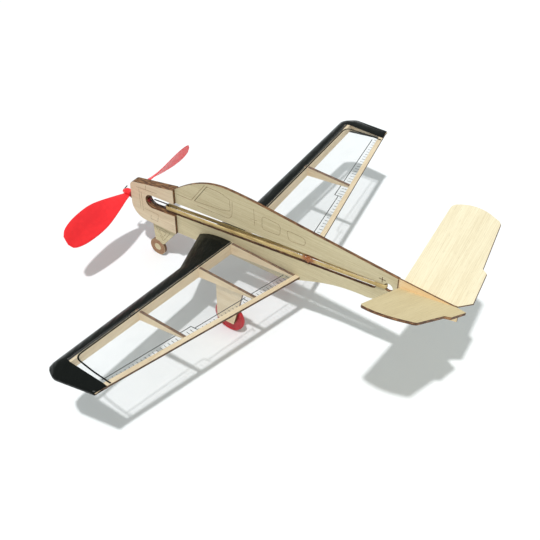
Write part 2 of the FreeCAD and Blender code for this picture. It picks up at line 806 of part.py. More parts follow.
def main_gear_strut():
    """Flat plate glued to the inner side of the middle rib, between spar and strip."""

    def top(y):
        return te_top(STRUT_OUTER_X, y) + STRUT_OUTER_X * RISE - STRUT_TOP_DROP

    front = WHEEL_Y - STRUT_AHEAD
    root_back = WHEEL_Y + STRUT_ROOT_BEHIND
    foot = WHEEL_Z - STRUT_BELOW_AXLE
    corners = [
        (side(front, top(front)), 0),
        (side(front, foot), STRUT_TOE_R),
        (side(WHEEL_Y + STRUT_FOOT_BEHIND, foot), STRUT_HEEL_R),
        (side(root_back, top(root_back)), 0),
    ]
    plate = sheet_from_edges(rounded_outline(corners), STRUT_INNER_X, STRUT_OUTER_X)
    hole = Part.makeCylinder(
        AXLE_R, 3 * SHEET, Vector(STRUT_INNER_X - SHEET, WHEEL_Y, WHEEL_Z), Vector(1, 0, 0)
    )
    return plate.cut(hole)


def main_axle():
    """Pin pressed into the strut, with a head that keeps the wheel on."""
    head_x = WHEEL_INNER_X - WHEEL_GAP - AXLE_HEAD
    pin = Part.makeCylinder(
        AXLE_R, STRUT_OUTER_X - head_x, Vector(head_x, WHEEL_Y, WHEEL_Z), Vector(1, 0, 0)
    )
    head = Part.makeCylinder(AXLE_HEAD_R, AXLE_HEAD, Vector(head_x, WHEEL_Y, WHEEL_Z), Vector(1, 0, 0))
    return pin.fuse(head)


def main_wheel():
    """Plain disc wheel with rounded edges, free on its pin."""
    disc = Part.makeCylinder(
        WHEEL_R, WHEEL_THICKNESS, Vector(WHEEL_INNER_X, WHEEL_Y, WHEEL_Z), Vector(1, 0, 0)
    )
    rims = [edge for edge in disc.Edges if len(edge.Vertexes) == 1 and edge.Length > WHEEL_R]
    disc = disc.makeFillet(min(WHEEL_RIM_R, WHEEL_THICKNESS / 4), rims)
    bore = Part.makeCylinder(
        AXLE_R + AXLE_CLEARANCE, 3 * SHEET, Vector(WHEEL_INNER_X - SHEET, WHEEL_Y, WHEEL_Z), Vector(1, 0, 0)
    )
    return disc.cut(bore)


# ---- the whole model ---------------------------------------------------------
def one_solid(shape):
    """The single solid inside a Boolean result."""
    return shape.Solids[0] if len(shape.Solids) == 1 else shape


def build():
    bored = bearing_outside()
    parts = {
        "fuselage": fuselage().cut(bored),
        "tail_mount": tail_mount(),
        "nose_bearing": nose_bearing(),
        "thrust_washer": thrust_washer(),
        "prop_shaft": prop_shaft(),
        "propeller": propeller(),
        "rubber_motor": rubber_motor(),
    }
    slotted_spar, ribs = slotted_wing_frame()
    port_parts = {
        "nose_doubler": nose_doubler().cut(bored),
        "tail_plate": tail_plate(),
        "wing_spar": slotted_spar,
        "wing_leading_edge": leading_edge(),
        "wing_trailing_edge": trailing_edge(),
        "wing_tip": wing_tip(),
        "wing_film_upper": wing_film_upper(),
        "wing_film_lower": wing_film_lower().cut(main_gear_strut()),
        "main_gear_strut": main_gear_strut(),
        "main_axle": main_axle(),
        "main_wheel": main_wheel(),
    }
    port_parts.update(ribs)
    for hand_name, hand in SIDES.items():
        for name, shape in port_parts.items():
            parts[f"{name}_{hand_name}"] = mirrored(shape, hand)
    return parts


def main():
    os.makedirs("parts", exist_ok=True)
    parts = build()
    box = Part.makeCompound(list(parts.values())).optimalBoundingBox(False, False)
    to_origin = Vector(-(box.XMin + box.XMax) / 2, -(box.YMin + box.YMax) / 2, -box.ZMin)
    for name, shape in parts.items():
        solid = one_solid(shape)
        solid.translate(to_origin)
        solid.exportStep(f"parts/{name}.step")
        print(f"{name}: {len(solid.Solids)} solid, valid {solid.isValid()}, {solid.Volume:.1f} mm3")
    hub = HUB + to_origin
    wheel = Vector(WHEEL_INNER_X, WHEEL_Y, WHEEL_Z) + to_origin
    print(f"thrust line passes {tuple(hub)} along {tuple(AFT)}")
    below_slot_z = (BELLY_Z + SLOT_FRONT_Z - SLOT_FRONT_R) / 2
    face = Vector(NOSE_SIDE_X, (NOSE_Y + DOUBLER_END_Y) / 2, below_slot_z) + to_origin
    print(f"port wheel turns about {tuple(wheel)}")
    print(f"port doubler face {tuple(face)}")


main()
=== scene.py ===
import json
import math

import bmesh
import bpy
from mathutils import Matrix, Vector


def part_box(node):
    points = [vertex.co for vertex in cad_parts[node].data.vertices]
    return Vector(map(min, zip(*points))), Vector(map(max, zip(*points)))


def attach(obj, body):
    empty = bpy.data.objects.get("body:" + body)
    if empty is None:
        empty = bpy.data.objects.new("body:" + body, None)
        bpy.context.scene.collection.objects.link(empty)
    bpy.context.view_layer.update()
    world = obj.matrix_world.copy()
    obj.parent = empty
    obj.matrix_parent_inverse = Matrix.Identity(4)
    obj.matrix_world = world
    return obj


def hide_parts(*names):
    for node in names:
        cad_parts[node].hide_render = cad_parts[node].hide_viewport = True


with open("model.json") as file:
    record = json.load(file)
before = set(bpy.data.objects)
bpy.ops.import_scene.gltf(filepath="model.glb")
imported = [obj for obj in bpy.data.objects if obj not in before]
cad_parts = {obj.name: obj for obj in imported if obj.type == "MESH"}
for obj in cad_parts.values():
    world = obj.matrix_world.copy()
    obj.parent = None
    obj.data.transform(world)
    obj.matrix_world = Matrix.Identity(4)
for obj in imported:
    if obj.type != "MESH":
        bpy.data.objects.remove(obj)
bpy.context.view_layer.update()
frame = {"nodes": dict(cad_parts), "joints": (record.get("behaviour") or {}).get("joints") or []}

# ---- Setting out ---------------------------------------------------------------
# The model is set out in millimetres from the root of the wing's trailing edge:
# +X to port, +Y aft, +Z up.  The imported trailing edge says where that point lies.
MM = 0.001
TE_SWEEP = 0.1885
TE_THICKNESS = 1.5
WING_ROOT_X = 1.0
RISE = math.tan(math.radians(5.15))
PORT, STARBOARD = 1, -1
SIDES = {"port": PORT, "starboard": STARBOARD}

te_low, te_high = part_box("wing_trailing_edge_port")
DATUM = Vector((
    0,
    te_high.y + TE_SWEEP * WING_ROOT_X * MM,
    te_low.z + (TE_THICKNESS - WING_ROOT_X * RISE) * MM,
))


def place(x, y, z):
    """A point of the model, from millimetres at the datum to metres in the frame."""
    return Vector((x, y, z)) * MM + DATUM


# ---- Table, lamp and camera ----------------------------------------------------
# The finished model stands on a plain white table under one high soft lamp, with
# white walls all round.  The camera looks down on it from behind the port wing.
TABLE_REACH = 6.0
TABLE_WHITE = (0.87, 0.885, 0.9, 1)
TABLE_ROUGHNESS = 0.9
WALLS_WHITE = (0.94, 1.0, 0.985, 1)
WALLS_STRENGTH = 0.57
LAMP_STRENGTH = 2.25
LAMP_SPREAD = 2.4
LAMP_FROM = (0.36, 0.13, 1.0)
CAMERA_AT = (363.5, 236.1, 391.3)
CAMERA_HEADING = 234.497
CAMERA_DOWN = 41.728
CAMERA_LENS = 63.52

table_mesh = bpy.data.meshes.new("table")
corners = [(-1, -1), (1, -1), (1, 1), (-1, 1)]
table_mesh.from_pydata([(x * TABLE_REACH, y * TABLE_REACH, 0) for x, y in corners], [], [(0, 1, 2, 3)])
table = bpy.data.objects.new("table", table_mesh)
bpy.context.scene.collection.objects.link(table)
table_paint = bpy.data.materials.new("table_white")
table_paint.use_nodes = True
table_surface = table_paint.node_tree.nodes["Principled BSDF"]
table_surface.inputs["Base Color"].default_value = TABLE_WHITE
table_surface.inputs["Roughness"].default_value = TABLE_ROUGHNESS
table_mesh.materials.append(table_paint)

walls = bpy.data.worlds.new("white_walls")
walls.use_nodes = True
background = walls.node_tree.nodes["Background"]
background.inputs["Color"].default_value = WALLS_WHITE
background.inputs["Strength"].default_value = WALLS_STRENGTH
bpy.context.scene.world = walls
bpy.context.scene.view_settings.view_transform = "Standard"

lamp_data = bpy.data.lights.new("lamp", "SUN")
lamp_data.energy = LAMP_STRENGTH
lamp_data.angle = math.radians(LAMP_SPREAD)
lamp = bpy.data.objects.new("lamp", lamp_data)
lamp.rotation_euler = Vector(LAMP_FROM).to_track_quat("Z", "Y").to_euler()
bpy.context.scene.collection.objects.link(lamp)

heading, down = math.radians(CAMERA_HEADING), math.radians(CAMERA_DOWN)
camera_data = bpy.data.cameras.new("camera")
camera_data.lens = CAMERA_LENS
camera = bpy.data.objects.new("camera", camera_data)
camera.location = place(*CAMERA_AT)
sight = Vector((math.sin(heading), math.cos(heading), -math.tan(down)))
camera.rotation_euler = sight.to_track_quat("-Z", "Y").to_euler()
bpy.context.scene.collection.objects.link(camera)
bpy.context.scene.camera = camera


# ---- Balsa sheet ---------------------------------------------------------------
# Fuselage, doublers, ribs, sticks, struts and tail are cut by laser from thin balsa
# sheet and left bare.  The faces show pale grain with short pores, and every cut
# edge is burnt brown.
class Nodes:
    """A tree of nodes, where one call adds a node with its settings and inputs."""

    def node(self, kind, settings=None, inputs=None):
        node = self.tree.nodes.new(kind)
        for name, value in (settings or {}).items():
            setattr(node, name, value)
        for name, value in (inputs or {}).items():
            self.feed(node.inputs[name], value)
        return node

    def feed(self, socket, value):
        source = value.socket if isinstance(value, Value) else value
        if isinstance(source, bpy.types.NodeSocket):
            self.tree.links.new(source, socket)
        else:
            socket.default_value = source


class Value:
    """A number that varies over a surface.  Sums with it add Math nodes."""

    def __init__(self, nodes, socket):
        self.nodes = nodes
        self.socket = socket

    def maths(self, operation, *terms):
        node = self.nodes.node("ShaderNodeMath", {"operation": operation}, dict(enumerate(terms)))
        return Value(self.nodes, node.outputs[0])

    def __add__(self, other):
        return self.maths("ADD", self, other)

    def __sub__(self, other):
        return self.maths("SUBTRACT", self, other)

    def __rsub__(self, other):
        return self.maths("SUBTRACT", other, self)

    def __mul__(self, other):
        return self.maths("MULTIPLY", self, other)

    def __abs__(self):
        return self.maths("ABSOLUTE", self)

    __radd__ = __add__
    __rmul__ = __mul__


class Finish(Nodes):
    """A material on one principled surface, worked out in millimetres on the model."""

    def __init__(self, name, **surface):
        self.material = bpy.data.materials.new(name)
        self.material.use_nodes = True
        self.tree = self.material.node_tree
        self.surface = self.tree.nodes["Principled BSDF"]
        coordinates = self.node("ShaderNodeTexCoord")
        self.millimetres = self.node(
            "ShaderNodeVectorMath", {"operation": "SCALE"},
            {0: coordinates.outputs["Object"], "Scale": 1 / MM},
        ).outputs[0]
        self.normal = coordinates.outputs["Normal"]
        self.set(**surface)

    def set(self, **surface):
        """Sets inputs of the surface, such as base_color or roughness."""
        for name, value in surface.items():
            self.feed(self.surface.inputs[name.replace("_", " ").title().replace("Ior", "IOR")], value)

    def along(self, direction, vector=None):
        """How far a point lies along a direction, in millimetres."""
        inputs = {0: vector or self.millimetres, 1: direction}
        node = self.node("ShaderNodeVectorMath", {"operation": "DOT_PRODUCT"}, inputs)
        return Value(self, node.outputs["Value"])

    def ways(self):
        """How far a point lies to port, aft and up, in millimetres."""
        return [self.along(way) for way in (SIDEWAYS, AFT_WAY, UPWARDS)]

    def noise(self, ways, grains, detail=2.0, roughness=0.5):
        """Noise from about 0.3 to 0.7, with so many grains to the millimetre each way."""
        stretched = [way * grain for way, grain in zip(ways, grains)]
        vector = self.node("ShaderNodeCombineXYZ", None, dict(zip("XYZ", stretched))).outputs[0]
        inputs = {"Vector": vector, "Scale": 1.0, "Detail": detail, "Roughness": roughness}
        return Value(self, self.node("ShaderNodeTexNoise", None, inputs).outputs[0])

    def step(self, value, start, end):
        """Nothing up to start, one from end on, and a smooth rise between them."""
        settings = {"interpolation_type": "SMOOTHSTEP"}
        inputs = {"Value": value, "From Min": start, "From Max": end}
        return Value(self, self.node("ShaderNodeMapRange", settings, inputs).outputs["Result"])

    def mix(self, share, first, second):
        """The first colour where share is nothing, and the second where it is one."""
        colours = [c if isinstance(c, bpy.types.NodeSocket) else (*c, 1.0) for c in (first, second)]
        inputs = {0: share, 6: colours[0], 7: colours[1]}
        return self.node("ShaderNodeMix", {"data_type": "RGBA"}, inputs).outputs[2]

    def relief(self, height, depth):
        """Raises the surface by a height from 0 to 1, times a depth in millimetres."""
        inputs = {"Height": height, "Distance": depth * MM, "Strength": 1.0}
        self.set(normal=self.node("ShaderNodeBump", None, inputs).outputs[0])


SIDEWAYS, AFT_WAY, UPWARDS = Vector((1, 0, 0)), Vector((0, 1, 0)), Vector((0, 0, 1))
BURN = ((0.075, 0.028, 0.01), (0.31, 0.155, 0.062))
DEEP_BURN = ((0.04, 0.018, 0.007), (0.19, 0.095, 0.04))
SIDE_WOOD = ((0.63, 0.55, 0.355), (0.485, 0.405, 0.24))
DOUBLER_WOOD = ((0.69, 0.57, 0.40), (0.54, 0.42, 0.275))
STREAK_GRAINS = (0.04, 2.2, 0.5)
BAND_GRAINS = (0.012, 0.13, 0.1)
MOTTLE_GRAINS = (0.35, 0.9, 0.9)
PORE_GRAINS = (0.3, 3.4, 2.0)
THREAD_GRAINS = (0.02, 4.5, 1.0)
SCORCH_GRAINS = (0.25, 0.25, 1.6)
GRAIN_DEPTH = 0.05
STICK_WOOD = ((0.80, 0.66, 0.45), (0.62, 0.47, 0.29))


def balsa(name, wood, grain, face, depth=GRAIN_DEPTH, burn=BURN):
    """Balsa whose grain runs one way and whose sheet faces another."""
    finish = Finish(name)
    grain, face = grain.normalized(), face.normalized()
    ways = [finish.along(way) for way in (grain, grain.cross(face), face)]
    streaks = finish.noise(ways, STREAK_GRAINS, 5.0, 0.65)
    bands = finish.noise(ways, BAND_GRAINS)
    mottle = finish.noise(ways, MOTTLE_GRAINS, 3.0)
    pores = finish.step(finish.noise(ways, PORE_GRAINS), 0.66, 0.74)
    threads = finish.step(finish.noise(ways, THREAD_GRAINS), 0.67, 0.73)
    pale, dark = wood
    darkness = finish.step(streaks * 0.62 + bands * 0.26 + mottle * 0.12, 0.36, 0.66)
    bare = finish.mix(darkness, pale, dark)
    pored = finish.mix(pores * 0.5 + threads * 0.3, bare, [0.55 * value for value in dark])
    cut = 1 - finish.step(abs(finish.along(face, finish.normal)), 0.35, 0.8)
    scorch = finish.noise(ways, SCORCH_GRAINS, 4.0, 0.6)
    burnt = finish.mix(finish.step(scorch, 0.42, 0.66), *burn)
    finish.set(base_color=finish.mix(cut, pored, burnt), roughness=0.74 + streaks * 0.2 - cut * 0.18)
    finish.relief(streaks * 0.5 + mottle * 0.2 - pores * 0.5 - threads * 0.3, depth)
    return finish


def dress(finish, *nodes):
    """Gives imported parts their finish."""
    for node in nodes:
        for slot in frame["nodes"][node].material_slots:
            slot.material = finish.material


def on_both(*nodes):
    """Names of the parts that each wing has one of."""
    return [f"{node}_{side}" for node in nodes for side in SIDES]


dress(balsa("side_balsa", SIDE_WOOD, AFT_WAY, SIDEWAYS), "fuselage")
dress(balsa("doubler_balsa", DOUBLER_WOOD, AFT_WAY, SIDEWAYS), *on_both("nose_doubler"))

# ---- Score lines ---------------------------------------------------------------
# The laser also scores the windscreen, windows, door, cowling and nose leg lightly
# into the sheet, on both sides.  Each line is a narrow brown burn.
SHEET_FACE = 1.0
DOUBLER_FACE = 3.0
SCORE_WIDTH = 0.28
MARK_WIDTH = 0.45
SCORE_PROUD = 0.03
SCORE_THICKNESS = 0.12
CHAR_GRAINS = (1.0, 0.9, 0.9)
CORNER_STEPS = 5


class Jig(Nodes):
    """A Geometry Nodes tree that makes one kind of piece along a path."""

    def __init__(self, name, sizes):
        self.tree = bpy.data.node_groups.new(name, "GeometryNodeTree")
        sockets = {"Path": "Geometry", **sizes, "Finish": "Material"}
        for label, kind in sockets.items():
            self.tree.interface.new_socket(label, in_out="INPUT", socket_type=f"NodeSocket{kind}")
        self.tree.interface.new_socket("Piece", in_out="OUTPUT", socket_type="NodeSocketGeometry")
        self.sizes = self.node("NodeGroupInput").outputs
        curve = self.node("GeometryNodeMeshToCurve", None, {"Mesh": self.sizes["Path"]})
        faced = self.node(
            "GeometryNodeSetCurveNormal", {"mode": "FREE"},
            {"Curve": curve.outputs[0], "Normal": self.sizes["Facing"]},
        )
        self.curve = faced.outputs[0]

    def end(self, shape):
        """Makes the shape real, gives it its finish and ends the tree."""
        real = self.node("GeometryNodeRealizeInstances", None, {0: shape})
        inputs = {"Geometry": real.outputs[0], "Material": self.sizes["Finish"]}
        finished = self.node("GeometryNodeSetMaterial", None, inputs)
        self.node("NodeGroupOutput", None, {"Piece": finished.outputs[0]})

    def make(self, name, paths, **values):
        """A plain mesh piece along the paths, each a list of points and whether it closes."""
        points, edges = [], []
        for path, closed in paths:
            first = len(points)
            points += path
            edges += [(first + i, first + i + 1) for i in range(len(path) - 1)]
            if closed:
                edges.append((first + len(path) - 1, first))
        mesh = bpy.data.meshes.new(name)
        mesh.from_pydata(points, edges, [])
        piece = bpy.data.objects.new(name, mesh)
        bpy.context.scene.collection.objects.link(piece)
        modifier = piece.modifiers.new("jig", "NODES")
        modifier.node_group = self.tree
        for item in self.tree.interface.items_tree:
            if item.in_out == "INPUT" and item.name in values:
                modifier[item.identifier] = values[item.name]
        evaluated = piece.evaluated_get(bpy.context.evaluated_depsgraph_get())
        plain = bpy.data.meshes.new_from_object(evaluated)
        piece.modifiers.clear()
        piece.data = plain
        return piece


def strip_jig():
    """A flat strip laid along a path."""
    jig = Jig("flat_strip", {"Width": "Float", "Thickness": "Float", "Facing": "Vector"})
    profile = jig.node(
        "GeometryNodeCurvePrimitiveQuadrilateral", {"mode": "RECTANGLE"},
        {"Width": jig.sizes["Thickness"], "Height": jig.sizes["Width"]},
    )
    inputs = {"Curve": jig.curve, "Profile Curve": profile.outputs[0], "Fill Caps": True}
    jig.end(jig.node("GeometryNodeCurveToMesh", None, inputs).outputs[0])
    return jig


def rounded(points, radius, closed=False):
    """The points of a path with its corners rounded."""
    count = len(points)
    path = []
    for index, corner in enumerate(points):
        if not closed and index in (0, count - 1):
            path.append(corner)
            continue
        before, after = points[index - 1] - corner, points[(index + 1) % count] - corner
        reach = min(radius, before.length / 2, after.length / 2)
        start, end = corner + before.normalized() * reach, corner + after.normalized() * reach
        for step in range(CORNER_STEPS + 1):
            t = step / CORNER_STEPS
            path.append(start * (1 - t) ** 2 + corner * (2 * t * (1 - t)) + end * t ** 2)
    return path


def finished(piece, body, slot, *replaced):
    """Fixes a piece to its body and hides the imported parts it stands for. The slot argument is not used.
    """
    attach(piece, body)
    if replaced:
        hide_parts(*replaced)
    return piece


def scored_finish(name, *colours):
    """A matt burn, mottled between two browns."""
    finish = Finish(name)
    char = finish.noise(finish.ways(), CHAR_GRAINS, 3.0)
    burn = finish.mix(finish.step(char, 0.35, 0.65), *colours)
    finish.set(base_color=burn, roughness=0.7 + char * 0.3)
    finish.relief(char, 0.03)
    return finish


score = scored_finish("scored_line", (0.20, 0.125, 0.065), (0.40, 0.29, 0.17))
cut_through = scored_finish("cut_line", *DEEP_BURN)
strips = strip_jig()


def side_lines(name, lines, face, width=SCORE_WIDTH, finish=score):
    """Score lines on both faces of a sheet, each (points, corner radius, closed)."""
    paths = []
    for hand in (PORT, STARBOARD):
        x = hand * (face + SCORE_PROUD - SCORE_THICKNESS / 2)
        for points, radius, closed in lines:
            corners = [place(x, y, z) for y, z in points]
            paths.append((rounded(corners, radius * MM, closed), closed))
    piece = strips.make(
        name, paths, Width=width * MM, Thickness=SCORE_THICKNESS * MM,
        Facing=SIDEWAYS, Finish=finish.material,
    )
    return finished(piece, "airframe", "balsa")


cabin_lines = [
    ([(-72.3, 38.4), (-83.8, 21.9)], 0, False),
    ([(-70.0, 38.9), (-81.5, 22.2)], 0, False),
    ([(-96.5, 21.3), (-83.8, 21.9)], 0, False),
    ([(-70.6, 38.0), (-61.6, 38.3), (-53.0, 36.2), (-52.6, 27.2), (-60.0, 24.9), (-81.4, 22.3)], 1.5, True),
    ([(-50.9, 35.3), (-51.3, 24.0), (-54.0, 20.6), (-79.5, 19.6)], 2.5, False),
    ([(-34.6, 37.2), (-34.0, 24.7)], 0, False),
    ([(-37.1, 28.4), (-32.2, 29.0)], 0, False),
    ([(-28.4, 34.6), (-14.9, 33.6), (-15.2, 25.3), (-28.4, 24.6)], 2.5, True),
    ([(-10.3, 32.4), (3.0, 31.8), (3.2, 26.4), (-8.8, 24.9)], 2.5, True),
]
side_lines("cabin_score_lines", cabin_lines, SHEET_FACE)
marks = [([(55.8, 25.4), (55.8, 29.2)], 0, False), ([(53.6, 27.6), (58.0, 27.6)], 0, False)]
side_lines("post_mark", marks, SHEET_FACE, MARK_WIDTH, cut_through)
cowling_lines = [
    ([(-129.5, 14.0), (-111.6, 15.9)], 0, False),
    ([(-127.4, 13.0), (-127.3, -2.7)], 0, False),
    ([(-125.6, 11.5), (-125.1, -4.3)], 0, False),
    ([(-120.8, 18.6), (-121.5, 14.4)], 0, False),
    ([(-124.0, -1.6), (-111.9, -1.7), (-113.0, -7.9), (-119.2, -8.1), (-118.5, -4.7)], 0.5, False),
]
side_lines("cowling_score_lines", cowling_lines, DOUBLER_FACE)
leg_lines = [
    ([(-117.2, -14.6), (-104.8, -15.6), (-111.6, -25.6)], 0.8, True),
    ([(-114.6, -16.4), (-108.2, -17.0), (-111.7, -22.6)], 0.6, True),
]
side_lines("leg_score_lines", leg_lines, SHEET_FACE)

# ---- Nose wheel ----------------------------------------------------------------
# The nose wheel is cut in one with the fuselage sheet.  Its tyre is scored darker
# than the wood by the laser, round a bare hub.
NOSE_WHEEL_AT = (-117.3, -33.2)
TYRE_INNER_R = 2.7
TYRE_OUTER_R = 6.15
TYRE_SEGMENTS = 48
TYRE_GRAINS = (1.0, 1.4, 1.4)


def closed_mesh(name, points, faces, finish, smooth=False):
    """A piece from points in metres, with its faces turned outwards."""
    mesh = bpy.data.meshes.new(name)
    mesh.from_pydata(points, [], faces)
    mesh.materials.append(finish.material)
    mesh.polygons.foreach_set("use_smooth", [smooth] * len(mesh.polygons))
    shape = bmesh.new()
    shape.from_mesh(mesh)
    bmesh.ops.recalc_face_normals(shape, faces=shape.faces)
    shape.to_mesh(mesh)
    shape.free()
    piece = bpy.data.objects.new(name, mesh)
    bpy.context.scene.collection.objects.link(piece)
    return piece


def turned(profile, centre, axis, segments):
    """Points and faces of a ring turned about an axis, from a closed profile of
    (distance along the axis, radius) in millimetres."""
    across = axis.orthogonal().normalized()
    upright = axis.cross(across)
    points, faces = [], []
    count = len(profile)
    for segment in range(segments):
        angle = math.tau * segment / segments
        outwards = across * math.cos(angle) + upright * math.sin(angle)
        points += [centre + (axis * along + outwards * radius) * MM for along, radius in profile]
    for segment in range(segments):
        one, two = segment * count, (segment + 1) % segments * count
        for index in range(count):
            after = (index + 1) % count
            faces.append((one + index, one + after, two + after, two + index))
    return points, faces


def tyre_finish():
    """A burn over the whole tyre, mottled and a little rough."""
    finish = Finish("scored_tyre")
    char = finish.noise(finish.ways(), TYRE_GRAINS, 4.0, 0.6)
    burn = finish.mix(finish.step(char, 0.32, 0.68), (0.20, 0.09, 0.045), (0.42, 0.25, 0.14))
    finish.set(base_color=burn, roughness=0.72 + char * 0.2)
    finish.relief(char, 0.05)
    return finish


tyre = tyre_finish()
for side, hand in SIDES.items():
    top, foot = SHEET_FACE + SCORE_PROUD, SHEET_FACE - SCORE_THICKNESS
    profile = [(foot, TYRE_INNER_R), (top, TYRE_INNER_R), (top, TYRE_OUTER_R), (foot, TYRE_OUTER_R)]
    ring = turned(profile, place(0, *NOSE_WHEEL_AT), SIDEWAYS * hand, TYRE_SEGMENTS)
    finished(closed_mesh(f"nose_wheel_tyre_{side}", *ring, tyre), "airframe", "balsa")

# ---- Tail ----------------------------------------------------------------------
# A thin mount is glued on behind the seam, and two pale plates are glued to it in a
# V.  Their grain runs outwards, and their cut edges are burnt thin and dark.
TAIL_RISE = 0.55
TAIL_TILT = 0.125
TAIL_GRAIN_DEPTH = 0.04
SEAM_Y = 65.8
SEAM_TOP = 32.6
SEAM_FOOT = 13.2
SEAM_WIDTH = 0.5
# Painted glow: the mount's balsa is coloured warm orange to stand for light bounced between the two tail
# plates, on top of its own grain.
MOUNT_WOOD_PAINTED_GLOW = ((0.97, 0.765, 0.49), (0.82, 0.60, 0.35))
# Painted light and shade: both plates are the same balsa, but the port plate is painted darker and the
# starboard plate paler for how the lamp falls on them.
TAIL_WOOD_PAINTED_LIGHT_AND_SHADE = {
    "port": ((0.725, 0.605, 0.36), (0.61, 0.49, 0.27)),
    "starboard": ((0.86, 0.78, 0.57), (0.70, 0.60, 0.40)),
}
mount_balsa_painted_glow = balsa("mount_balsa_painted_glow", MOUNT_WOOD_PAINTED_GLOW, AFT_WAY, SIDEWAYS)
dress(mount_balsa_painted_glow, "tail_mount")
for side, hand in SIDES.items():
    outwards = Vector((hand, 0, TAIL_RISE))
    facing = Vector((-TAIL_RISE * hand, -TAIL_TILT, 1))
    tail_balsa_painted_light = balsa(f"tail_balsa_painted_light_{side}", TAIL_WOOD_PAINTED_LIGHT_AND_SHADE[side], outwards, facing, TAIL_GRAIN_DEPTH)
    dress(tail_balsa_painted_light, f"tail_plate_{side}")
seam = [([(SEAM_Y, SEAM_TOP), (SEAM_Y, SEAM_FOOT)], 0, False)]
side_lines("tail_seam", seam, SHEET_FACE, SEAM_WIDTH, cut_through)

# ---- Nose bearing, washer and shaft --------------------------------------------
# A dark red moulded bearing is pushed into the nose.  One steel wire runs through
# it, bent over ahead of the hub and into a hook behind, with a brass washer between.
FLOW_GRAINS = (0.06, 0.12, 0.12)
SKIN_GRAINS = (3.0, 3.0, 3.0)
RUB_GRAINS = (0.4, 0.4, 0.4)
DRAWN_GRAINS = (0.5, 12.0, 12.0)
TARNISH_GRAINS = (0.4, 0.8, 0.8)


def moulded(name, colour, deep, roughness, sheen=0.5):
    """Moulded plastic: faint flow marks, rubbed satin patches and a fine skin."""
    finish = Finish(name, specular_ior_level=sheen)
    ways = finish.ways()
    flow = finish.noise(ways, FLOW_GRAINS, 3.0)
    skin = finish.noise(ways, SKIN_GRAINS)
    rub = finish.noise(ways, RUB_GRAINS, 3.0, 0.6)
    shade = finish.mix(finish.step(flow * 0.7 + rub * 0.3, 0.35, 0.65), colour, deep)
    finish.set(base_color=shade, roughness=roughness + (rub - 0.5) * 0.25)
    finish.relief(skin * 0.6 + rub * 0.4, 0.012)
    return finish


def drawn_metal(name, colour, dull, roughness, direction):
    """Drawn or stamped metal: fine lines one way and a little tarnish."""
    finish = Finish(name, metallic=1.0)
    ways = [finish.along(way) for way in (direction, SIDEWAYS, UPWARDS)]
    lines = finish.noise(ways, DRAWN_GRAINS, 3.0)
    tarnish = finish.noise(ways, TARNISH_GRAINS, 3.0)
    finish.set(base_color=finish.mix(finish.step(tarnish, 0.4, 0.65), colour, dull))
    finish.set(roughness=roughness + lines * 0.2)
    finish.relief(lines, 0.008)
    return finish


spin = {joint["name"]: joint for joint in frame["joints"]}["propeller_spin"]
HUB = Vector(spin["pos_m"])
AFT = Vector(spin["axis"])
UP = SIDEWAYS.cross(AFT)

bearing_red = moulded("bearing_red", (0.26, 0.015, 0.015), (0.16, 0.01, 0.01), 0.5)
wire = drawn_metal("steel_wire", (0.11, 0.105, 0.10), (0.05, 0.045, 0.04), 0.35, AFT)
pin_steel = drawn_metal("steel_pin", (0.42, 0.42, 0.43), (0.22, 0.21, 0.2), 0.3, SIDEWAYS)
brass = drawn_metal("washer_brass", (0.75, 0.60, 0.30), (0.48, 0.35, 0.16), 0.28, UPWARDS)
dress(bearing_red, "nose_bearing")
dress(wire, "prop_shaft")
dress(brass, "thrust_washer")
dress(pin_steel, *on_both("main_axle"))

# ---- Propeller -----------------------------------------------------------------
# One red moulding with two broad, thin, twisted blades on a turned hub.  It is
# smooth and slightly glossy, and thin enough to glow a little where light is behind.
PROP_R = 62.0
PROP_PITCH = 184.0
PROP_PHASE = math.radians(0.9)
BLADE_SHARES = [0.04, 0.12, 0.30, 0.50, 0.70, 0.85, 0.95, 0.99]
BLADE_LEADING = [2.4, 4.1, 6.68, 8.6, 8.4, 7.0, 4.6, 1.8]
BLADE_TRAILING = [2.4, 3.6, 6.8, 9.9, 10.9, 10.3, 8.2, 4.6]
BLADE_ROOT_THICKNESS = 1.1
BLADE_TIP_THICKNESS = 0.6
BLADE_ROWS = 56
BLADE_COLUMNS = 12
BLADE_FULLNESS = 0.7
HUB_PROFILE = [
    (-5.6, 0.45), (-5.6, 1.1), (-5.4, 1.4), (-4.6, 1.55), (-4.1, 1.7), (-3.6, 2.2),
    (-3.0, 2.5), (-2.4, 2.6), (1.4, 2.6), (1.75, 2.45), (1.9, 2.1), (1.9, 0.45),
]
HUB_SEGMENTS = 40


def between(shares, values, share):
    """A value on the smooth curve through a row of values."""
    last = len(shares) - 2
    index = max(i for i in range(last + 1) if shares[i] <= share or i == 0)
    slopes = []
    for i in (index, index + 1):
        low, high = max(i - 1, 0), min(i + 1, last + 1)
        slopes.append((values[high] - values[low]) / (shares[high] - shares[low]))
    run = shares[index + 1] - shares[index]
    t = (share - shares[index]) / run
    rise = (3 - 2 * t) * t * t
    bend = slopes[0] * run * t * (1 - t) ** 2 - slopes[1] * run * t * t * (1 - t)
    return values[index] + (values[index + 1] - values[index]) * rise + bend


